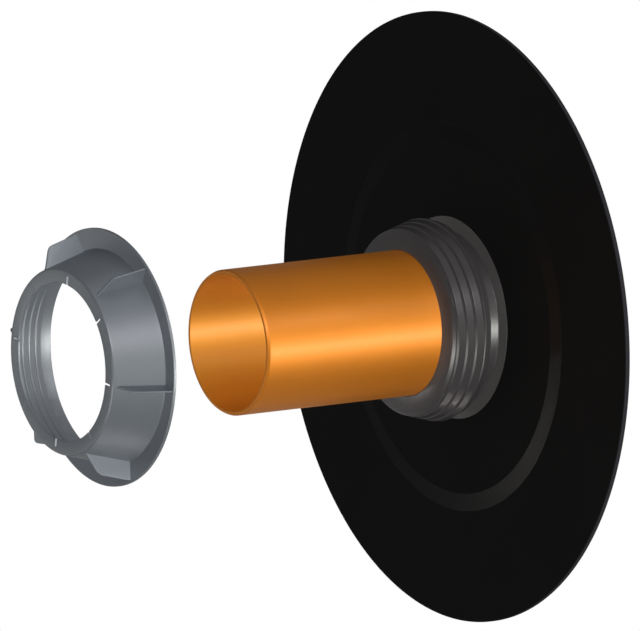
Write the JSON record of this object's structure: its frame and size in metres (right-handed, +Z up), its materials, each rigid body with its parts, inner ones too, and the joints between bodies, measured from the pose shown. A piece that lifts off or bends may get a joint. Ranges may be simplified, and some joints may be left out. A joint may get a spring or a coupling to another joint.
{
  "type": "pipe sleeve",
  "caption": "Wall sleeve for a drain pipe: a wide rubber membrane with a threaded collar, the pipe through it, and a winged lock ring that clamps the collar, shown unscrewed.",
  "frame": {"origin": "on the pipe's axis, level with the membrane's outer front face", "axes": "the pipe's axis is Y, the front with the lock ring is towards -Y, +Z is up"},
  "size_m": [0.4619, 0.3984, 0.462],
  "materials": {
    "membrane": "smooth matte black sheet",
    "collar": "satin dark grey moulding",
    "pipe": "semi-gloss orange drain pipe",
    "lock_ring": "satin blue-grey moulding"
  },
  "bodies": {
    "sleeve": {"membrane": "membrane", "collar": "collar"},
    "pipe": {"pipe": "pipe"},
    "lock_ring": {"lock_ring": "lock_ring"}
  },
  "joints": [
    {"name": "pipe_slide", "type": "slide", "parent": "sleeve", "child": "pipe", "axis": [0, 1, 0], "range_m": [-0.09, 0.14]},
    {"name": "lock_ring_slide", "type": "slide", "parent": "sleeve", "child": "lock_ring", "axis": [0, 1, 0], "range_m": [0, 0.2823]}
  ]
}
